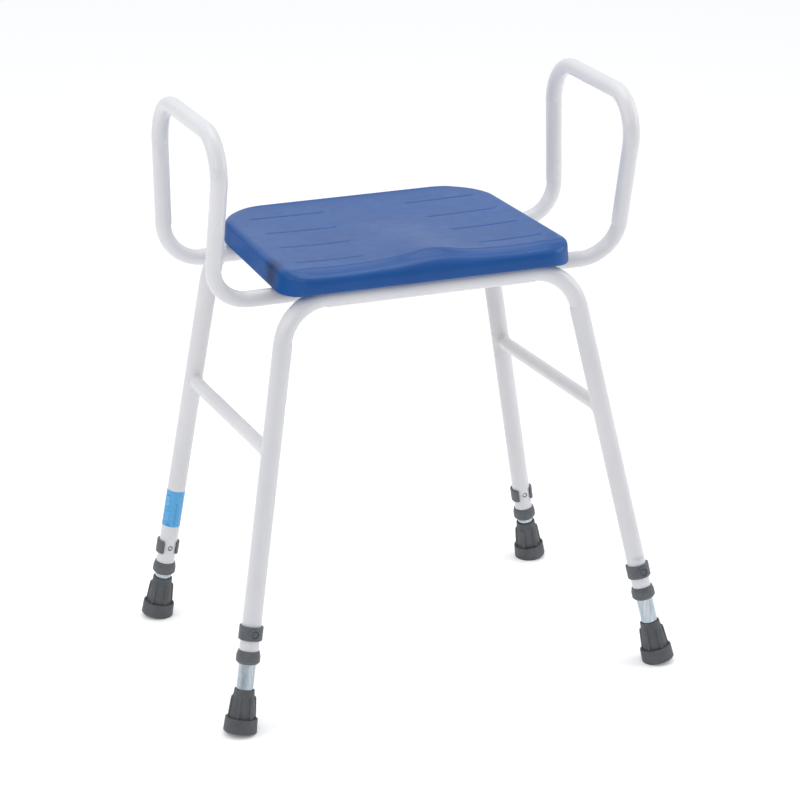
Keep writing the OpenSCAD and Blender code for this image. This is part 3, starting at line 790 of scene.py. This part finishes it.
def ferrule(name, material):
    """Rubber ferrule: tread rings, thick base ring, ribbed taper and open neck, worn level on the floor."""
    base_r, ring_r = FERRULE_R, FERRULE_R - 0.8 * MM
    foot_r, neck_r = ring_r - 2.6 * MM, EXT_R + 2.9 * MM
    core_foot, core_top = foot_r - RIB_DEPTH, EXT_R + 3.7 * MM
    ring, shoulder, top = FERRULE_RING_H, FERRULE_SHOULDER_H, FERRULE_H
    tread = []
    for groove_r in (5 * MM, 10 * MM, 15 * MM):
        tread += [(groove_r, 0, 0.3 * MM), (groove_r + 0.3 * MM, 1.2 * MM, 0.3 * MM)]
        tread += [(groove_r + 1.9 * MM, 1.2 * MM, 0.3 * MM), (groove_r + 2.2 * MM, 0, 0.3 * MM)]
    outside = [
        (base_r - 1.6 * MM, 0, 0.8 * MM),
        (base_r, 1.8 * MM, 0.9 * MM),
        (ring_r, ring, 0.8 * MM),
        (foot_r + 0.9 * MM, ring - 0.2 * MM, 0.5 * MM),
        (foot_r + 0.2 * MM, ring - 1.3 * MM, 0.4 * MM),
        (core_foot - 0.2 * MM, ring - 1.3 * MM, 0.4 * MM),
    ]
    taper = core_top - core_foot
    rise = [(core_foot + taper * t, ring + (shoulder - ring) * t, 0) for t in (0, 0.3, 0.6, 0.85)]
    rise += [(core_top + 0.1 * MM, shoulder - 3.2 * MM + 0.4 * MM * k, 0) for k in range(1, 8)]
    neck = [
        (core_top - 0.1 * MM, shoulder, 0.8 * MM),
        (neck_r, shoulder + 1.4 * MM, 0.8 * MM),
        (neck_r - 0.7 * MM, top, 0.7 * MM),
        (EXT_R + 0.9 * MM, top - 0.1 * MM, 0.3 * MM),
        (EXT_R + 0.05 * MM, top - 3 * MM, 0),
        (EXT_R + 0.05 * MM, 6 * MM, 0),
        (0, 6 * MM, 0),
    ]
    profile = fillet([(0, 0, 0)] + tread + outside + rise + neck, steps=4)

    half_rib = RIB_W / 2
    flank = 0.7 * MM
    spacing = 2 * math.pi / RIB_COUNT
    turn = math.radians(FERRULE_TURN[name])
    middle_r = (core_foot + core_top) / 2
    offsets = [0, 0.6 * half_rib, half_rib] + [half_rib + t * flank for t in (0.35, 0.7, 1)]
    offsets = [o / middle_r for o in offsets]
    span = [offsets[-1] + (spacing - 2 * offsets[-1]) * k / 8 for k in range(1, 8)]
    sector = offsets + span + [spacing - o for o in reversed(offsets[1:])]
    angles = [turn + spacing * k + a for k in range(RIB_COUNT) for a in sector]

    def ribbed(radius, angle, height):
        if not ring - 0.5 * MM < height < shoulder or radius < EXT_R + 1.5 * MM or radius > foot_r:
            return radius
        from_rib = abs((angle - turn + spacing / 2) % spacing - spacing / 2) * middle_r
        across = smooth(1 - (from_rib - half_rib) / flank)
        end = math.sqrt(max(0, 1 - (max(0, height - shoulder + 3 * MM) / (3 * MM)) ** 2))
        return radius + RIB_DEPTH * across * end

    leg = legs[name]
    verts, faces = lathe(profile, angles, radius_at=ribbed)
    verts, faces = placed((verts, faces), leg.matrix @ Matrix.Translation((0, 0, FERRULE_LIFT)))
    verts = [Vector((v.x, v.y, max(v.z, 0))) for v in verts]
    node = f"ferrule_{name}"
    add_piece(f"rubber_ferrule_{name}", verts, faces, material, f"leg_{name}", "grey_rubber", [node])


# ---------------------------------------------------------------- label

def label_print(i, j):
    """0 is bare film, 1 a dark outline or bar, 2 a pale panel. Plain boxes and bars, with no lettering."""
    for left, right, low, high, pitch in LABEL_BOXES:
        if left <= i <= right and low <= j <= high:
            on_edge = i in (left, right) or j in (low, high)
            return 1 if on_edge or (j - low) % pitch == 0 and i < right - 2 else 2
    corner_block = 45 <= i <= 50 and 1 <= j <= 6
    short_bars = 58 <= i <= 65 and 1 <= j <= 5 and i % 3
    tick_column = 73 <= i <= 75 and 4 <= j <= 40 and (j // 2) % 2
    return 1 if corner_block or short_bars or tick_column else 0


def label(base, print_dark, print_pale):
    """Film label wrapped round the rear left leg."""
    leg = legs["rear_left"]
    verts, faces, tints = [], [], []
    for radius in (LEG_R + 0.02 * MM, LEG_R + LABEL_T):
        for j in range(LABEL_ROWS + 1):
            z = LABEL_START + LABEL_H * j / LABEL_ROWS
            for i in range(LABEL_COLUMNS + 1):
                a = -LABEL_WRAP / 2 + LABEL_WRAP * i / LABEL_COLUMNS
                verts.append(leg.matrix @ Vector((radius * math.cos(a), radius * math.sin(a), z)))
    width = LABEL_COLUMNS + 1
    shell = width * (LABEL_ROWS + 1)
    for j in range(LABEL_ROWS):
        for i in range(LABEL_COLUMNS):
            back = j * width + i
            faces.append((back, back + width, back + width + 1, back + 1))
            front = back + shell
            faces.append((front, front + 1, front + width + 1, front + width))
            tints += [0, label_print(i, j)]
    top = LABEL_ROWS * width
    edge = list(range(width)) + [j * width + LABEL_COLUMNS for j in range(1, LABEL_ROWS + 1)]
    edge += [top + i for i in range(LABEL_COLUMNS - 1, -1, -1)]
    edge += [j * width for j in range(LABEL_ROWS - 1, 0, -1)]
    for k, a in enumerate(edge):
        b = edge[(k + 1) % len(edge)]
        faces.append((a, b, b + shell, a + shell))
        tints.append(0)
    piece = add_piece("leg_label", verts, faces, base, FRAME_BODY, "label_film", ["rating_label"])
    piece.data.materials.append(print_dark)
    piece.data.materials.append(print_pale)
    for polygon, t in zip(piece.data.polygons, tints):
        polygon.material_index = t


# ---------------------------------------------------------------- materials

def new_material(name):
    material = bpy.data.materials.new(name)
    material.use_nodes = True
    return material, material.node_tree, material.node_tree.nodes["Principled BSDF"]


def object_coords(tree, stretch=(1, 1, 1), turn=(0, 0, 0)):
    """The object's own coordinates, scaled along each axis and then turned."""
    coords = tree.nodes.new("ShaderNodeTexCoord")
    mapping = tree.nodes.new("ShaderNodeMapping")
    mapping.inputs["Scale"].default_value = stretch
    mapping.inputs["Rotation"].default_value = turn
    tree.links.new(coords.outputs["Object"], mapping.inputs["Vector"])
    return mapping.outputs["Vector"]


def noise(tree, vector, scale, detail=3.0, roughness=0.55):
    node = tree.nodes.new("ShaderNodeTexNoise")
    node.inputs["Scale"].default_value = scale
    node.inputs["Detail"].default_value = detail
    node.inputs["Roughness"].default_value = roughness
    tree.links.new(vector, node.inputs["Vector"])
    return node.outputs["Fac"]


def ramp(tree, factor, stops):
    """Colours along (place, colour) stops."""
    node = tree.nodes.new("ShaderNodeValToRGB")
    ends = node.color_ramp.elements
    ends[0].position, ends[0].color = stops[0][0], (*stops[0][1], 1)
    ends[1].position, ends[1].color = stops[-1][0], (*stops[-1][1], 1)
    for place, colour in stops[1:-1]:
        ends.new(place).color = (*colour, 1)
    tree.links.new(factor, node.inputs["Fac"])
    return node.outputs["Color"]


def spread(tree, value, low, high, from_low=0.3, from_high=0.7):
    """Maps from_low..from_high of a value onto low..high, held at both ends."""
    node = tree.nodes.new("ShaderNodeMapRange")
    node.inputs["From Min"].default_value = from_low
    node.inputs["From Max"].default_value = from_high
    node.inputs["To Min"].default_value = low
    node.inputs["To Max"].default_value = high
    tree.links.new(value, node.inputs["Value"])
    return node.outputs["Result"]


def bump(tree, shader, height, strength, distance, under=None):
    """Bumps the surface, on top of the bump `under` if there is one."""
    node = tree.nodes.new("ShaderNodeBump")
    node.inputs["Strength"].default_value = strength
    node.inputs["Distance"].default_value = distance
    tree.links.new(height, node.inputs["Height"])
    if under:
        tree.links.new(under, node.inputs["Normal"])
    tree.links.new(node.outputs["Normal"], shader.inputs["Normal"])
    return node.outputs["Normal"]


def two_tones(tree, shader, factor, dark, light):
    """Base colour that drifts between two tones."""
    tree.links.new(ramp(tree, factor, [(0.3, dark), (0.7, light)]), shader.inputs["Base Color"])


def ragged_patch(tree, shader, coords, place, size, colour, amount, raggedness=0.35):
    """A ragged patch: blends the base colour towards another round one place."""
    away = tree.nodes.new("ShaderNodeVectorMath")
    away.operation = "SUBTRACT"
    away.inputs[1].default_value = place
    shape = tree.nodes.new("ShaderNodeVectorMath")
    shape.operation = "DIVIDE"
    shape.inputs[1].default_value = size
    length = tree.nodes.new("ShaderNodeVectorMath")
    length.operation = "LENGTH"
    ragged = tree.nodes.new("ShaderNodeMath")
    ragged.operation = "ADD"
    blend = tree.nodes.new("ShaderNodeMix")
    blend.data_type = "RGBA"
    tree.links.new(coords, away.inputs[0])
    tree.links.new(away.outputs["Vector"], shape.inputs[0])
    tree.links.new(shape.outputs["Vector"], length.inputs[0])
    tree.links.new(length.outputs["Value"], ragged.inputs[0])
    tree.links.new(spread(tree, noise(tree, coords, 220), -raggedness, raggedness), ragged.inputs[1])
    tree.links.new(spread(tree, ragged.outputs[0], amount, 0.0, 0.3, 1.2), blend.inputs[0])
    base = shader.inputs["Base Color"]
    colours = [socket for socket in blend.inputs if socket.type == "RGBA"]
    tree.links.new(base.links[0].from_socket, colours[0])
    colours[1].default_value = (*colour, 1)
    tree.links.new([socket for socket in blend.outputs if socket.type == "RGBA"][0], base)


def powder_coat():
    """White powder coat: slight orange peel over faint warm and cool patches, rubbed above the clips."""
    material, tree, shader = new_material("white_powder_coat_finish")
    coords = object_coords(tree)
    two_tones(tree, shader, noise(tree, coords, 9), (0.635, 0.635, 0.660), (0.685, 0.680, 0.705))
    for name in ("front_right", "rear_right"):
        leg = legs[name]
        place = leg.foot + leg.up * (leg.pin + 19 * MM) + leg.out * LEG_R
        ragged_patch(tree, shader, coords, place, (9 * MM, 9 * MM, 4 * MM), (0.42, 0.42, 0.44), 0.5)
    tree.links.new(spread(tree, noise(tree, coords, 14), 0.27, 0.34), shader.inputs["Roughness"])
    shader.inputs["Specular IOR Level"].default_value = 0.5
    shader.inputs["Coat Weight"].default_value = 0.12
    shader.inputs["Coat Roughness"].default_value = 0.2
    bump(tree, shader, noise(tree, coords, 240, detail=0), 0.10, 0.00008)
    return material


def seat_skin():
    """Blue self-skinned foam: satin, more matt on its two sides, with a fine grain and one dark mark."""
    material, tree, shader = new_material("blue_seat_skin_finish")
    coords = object_coords(tree)
    drift = noise(tree, coords, 14, detail=4)
    two_tones(tree, shader, drift, (0.009, 0.071, 0.262), (0.012, 0.083, 0.298))
    # A darker blue ragged patch on the seat's left side, near the front corner.
    place = Vector((seat_low.x, -70 * MM, SEAT_Z + 17 * MM))
    ragged_patch(tree, shader, coords, place, (19 * MM, 27 * MM, 28 * MM), (0.004, 0.022, 0.080), 0.85, 0.1)
    tree.links.new(spread(tree, noise(tree, coords, 60), 0.36, 0.44), shader.inputs["Roughness"])
    facing = tree.nodes.new("ShaderNodeTexCoord")
    sideways = tree.nodes.new("ShaderNodeSeparateXYZ")
    on_side = tree.nodes.new("ShaderNodeMath")
    on_side.operation = "ABSOLUTE"
    tree.links.new(facing.outputs["Normal"], sideways.inputs[0])
    tree.links.new(sideways.outputs["X"], on_side.inputs[0])
    for socket, on_top, at_side in (("Specular IOR Level", 0.10, 0.02), ("Coat Weight", 0.34, 0.07)):
        tree.links.new(spread(tree, on_side.outputs[0], on_top, at_side, 0.5, 0.95), shader.inputs[socket])
    shader.inputs["Coat Roughness"].default_value = 0.2
    under = bump(tree, shader, noise(tree, coords, 420, detail=1), 0.10, 0.0001)
    bump(tree, shader, noise(tree, coords, 35, detail=2), 0.06, 0.0010, under)
    return material


def rubber():
    """Grey moulded rubber: matt, with a dusty drift of tone."""
    material, tree, shader = new_material("grey_rubber_finish")
    coords = object_coords(tree)
    dust = noise(tree, coords, 70, detail=4)
    two_tones(tree, shader, dust, (0.066, 0.070, 0.078), (0.090, 0.095, 0.104))
    tree.links.new(spread(tree, noise(tree, coords, 160), 0.5, 0.66), shader.inputs["Roughness"])
    shader.inputs["Specular IOR Level"].default_value = 0.45
    bump(tree, shader, noise(tree, coords, 1100, detail=3), 0.25, 0.00012)
    return material


def nylon():
    """Grey nylon of the collars and clips: a finer, slightly glossier moulded skin than the rubber."""
    material, tree, shader = new_material("grey_nylon_finish")
    coords = object_coords(tree)
    two_tones(tree, shader, noise(tree, coords, 60), (0.082, 0.090, 0.103), (0.102, 0.112, 0.126))
    tree.links.new(spread(tree, noise(tree, coords, 200), 0.42, 0.54), shader.inputs["Roughness"])
    shader.inputs["Specular IOR Level"].default_value = 0.5
    bump(tree, shader, noise(tree, coords, 900, detail=2), 0.18, 0.0001)
    return material


def zinc(name, turn=(0, 0, 0)):
    """Bright zinc plate: drawn streaks roughly along the tube, with faint blue and straw tints."""
    material, tree, shader = new_material(name)
    streaks = object_coords(tree, stretch=(1, 1, 0.03), turn=turn)
    plain = object_coords(tree)
    tone = ramp(
        tree,
        noise(tree, streaks, 260, detail=2),
        [(0.32, (0.34, 0.45, 0.54)), (0.5, (0.43, 0.49, 0.53)), (0.68, (0.56, 0.57, 0.57))],
    )
    tree.links.new(tone, shader.inputs["Base Color"])
    shader.inputs["Metallic"].default_value = 1.0
    tree.links.new(spread(tree, noise(tree, plain, 120), 0.22, 0.36), shader.inputs["Roughness"])
    bump(tree, shader, noise(tree, streaks, 900, detail=2), 0.10, 0.00008)
    return material


def plywood():
    """Rotary-cut plywood of the seat board."""
    material, tree, shader = new_material("plywood_finish")
    grain = object_coords(tree, stretch=(1, 0.08, 1))
    tone = ramp(
        tree,
        noise(tree, grain, 260, detail=5, roughness=0.65),
        [(0.3, (0.36, 0.23, 0.12)), (0.55, (0.50, 0.35, 0.20)), (0.75, (0.60, 0.44, 0.27))],
    )
    tree.links.new(tone, shader.inputs["Base Color"])
    shader.inputs["Roughness"].default_value = 0.65
    bump(tree, shader, noise(tree, grain, 500, detail=3), 0.3, 0.0002)
    return material


def film(name, dark, light):
    """Printed label film."""
    material, tree, shader = new_material(name)
    coords = object_coords(tree)
    two_tones(tree, shader, noise(tree, coords, 300, detail=2), dark, light)
    tree.links.new(spread(tree, noise(tree, coords, 400), 0.28, 0.4), shader.inputs["Roughness"])
    bump(tree, shader, noise(tree, coords, 700, detail=2), 0.06, 0.00006)
    return material


def paint_node(node, material):
    """Gives a CAD node that stays in view its finish."""
    for slot in frame["nodes"][node].material_slots:
        slot.material = material


# ---------------------------------------------------------------- camera, floor and light

TARGET = Vector((1.2, -0.9, 354.3)) * MM
CAMERA_AZIMUTH = math.radians(-21.73)
CAMERA_ELEVATION = math.radians(19.98)
CAMERA_DISTANCE = 4.0875
BRIGHT_SIDE = (0.0, 0.35, 0.937)
STUDIO_MEAN = 0.42
STUDIO_SWING = 0.70
# Soft boxes: name, azimuth and elevation in degrees, distance and size in metres, power in watts.
SOFT_BOXES = (
    ("top_box", 150, 78, 2.6, 1.6, 16),
    ("left_box", -85, 35, 1.8, 0.9, 4),
    ("right_box", 85, 30, 1.8, 0.9, 5),
    ("left_key", -40, 31, 2.6, 0.5, 6.5),
    ("right_key", 64, 16, 2.6, 0.5, 7),
)
SOFT_BOX_AIM = Vector((0, 0, 0.45))
FLOOR_HALF = 30.0


def toward(azimuth, elevation):
    """Direction from the object at this azimuth and elevation; azimuth 0 is straight in front of it."""
    return Vector((
        math.sin(azimuth) * math.cos(elevation),
        -math.cos(azimuth) * math.cos(elevation),
        math.sin(elevation),
    ))


def make_camera():
    data = bpy.data.cameras.new("camera")
    data.sensor_width = 36
    data.lens = 135
    data.clip_end = 60
    camera = bpy.data.objects.new("camera", data)
    bpy.context.scene.collection.objects.link(camera)
    back = toward(CAMERA_AZIMUTH, CAMERA_ELEVATION)
    camera.location = TARGET + back * CAMERA_DISTANCE
    camera.rotation_euler = back.to_track_quat("Z", "Y").to_euler()
    bpy.context.scene.camera = camera


def make_floor():
    mesh = bpy.data.meshes.new("floor")
    corners = [(x * FLOOR_HALF, y * FLOOR_HALF, 0) for x, y in ((-1, -1), (1, -1), (1, 1), (-1, 1))]
    mesh.from_pydata(corners, [], [(0, 1, 2, 3)])
    floor = bpy.data.objects.new("floor", mesh)
    bpy.context.scene.collection.objects.link(floor)
    material, tree, shader = new_material("pale_floor")
    shader.inputs["Base Color"].default_value = (0.93, 0.93, 0.93, 1)
    shader.inputs["Emission Color"].default_value = (1, 1, 1, 1)
    shader.inputs["Emission Strength"].default_value = 0.16
    shader.inputs["Roughness"].default_value = 0.9
    shader.inputs["Specular IOR Level"].default_value = 0.1
    mesh.materials.append(material)


def soft_box(name, azimuth, elevation, distance, size, power):
    """A square light that faces SOFT_BOX_AIM."""
    data = bpy.data.lights.new(name, "AREA")
    data.shape = "SQUARE"
    data.size = size
    data.energy = power
    light = bpy.data.objects.new(name, data)
    bpy.context.scene.collection.objects.link(light)
    back = toward(math.radians(azimuth), math.radians(elevation))
    light.location = SOFT_BOX_AIM + back * distance
    light.rotation_euler = back.to_track_quat("Z", "Y").to_euler()


def make_light():
    """A studio that is brightest overhead and a little behind the object, with soft boxes round it."""
    world = bpy.data.worlds.new("studio")
    bpy.context.scene.world = world
    world.use_nodes = True
    nodes, links = world.node_tree.nodes, world.node_tree.links
    background = nodes["Background"]
    background.inputs["Color"].default_value = (0.97, 0.985, 1.0, 1)
    coords = nodes.new("ShaderNodeTexCoord")
    facing = nodes.new("ShaderNodeVectorMath")
    facing.operation = "DOT_PRODUCT"
    facing.inputs[1].default_value = BRIGHT_SIDE
    strength = nodes.new("ShaderNodeMapRange")
    strength.inputs["From Min"].default_value = -1
    strength.inputs["To Min"].default_value = STUDIO_MEAN - STUDIO_SWING
    strength.inputs["To Max"].default_value = STUDIO_MEAN + STUDIO_SWING
    links.new(coords.outputs["Generated"], facing.inputs[0])
    links.new(facing.outputs["Value"], strength.inputs["Value"])
    links.new(strength.outputs["Result"], background.inputs["Strength"])
    for box in SOFT_BOXES:
        soft_box(*box)
    bpy.context.scene.view_settings.view_transform = "Standard"


# ---------------------------------------------------------------- build

make_camera()
make_floor()
make_light()

white = powder_coat()
blue = seat_skin()
grey_rubber = rubber()
grey_nylon = nylon()
zinc_steel = zinc("zinc_steel_finish")

for pair in ("front", "rear"):
    leg_hoop(pair, white)
for side, sign in (("left", -1), ("right", 1)):
    arm_loop(side, sign, white)
    side_strut(side, white)
    paint_node(f"seat_rail_{side}", white)
seat_pad(blue)
for name in LEGS:
    collar(name, grey_nylon)
    clip(name, grey_nylon)
    clip_pin(name, zinc_steel)
    ferrule(name, grey_rubber)
    lean = legs[name].up.to_track_quat("Z", "Y").to_euler()
    paint_node(f"leg_extension_{name}", zinc(f"zinc_tube_{name}", tuple(-a for a in lean)))
    paint_node(f"ferrule_disc_{name}", zinc_steel)
for node in ("seat_bolts", "seat_washers", "seat_inserts"):
    paint_node(node, zinc_steel)
paint_node("seat_board", plywood())
label(
    film("label_film_finish", (0.070, 0.335, 0.64), (0.095, 0.375, 0.70)),
    film("label_print_dark", (0.030, 0.215, 0.52), (0.045, 0.245, 0.56)),
    film("label_print_pale", (0.100, 0.400, 0.70), (0.130, 0.440, 0.75)),
)
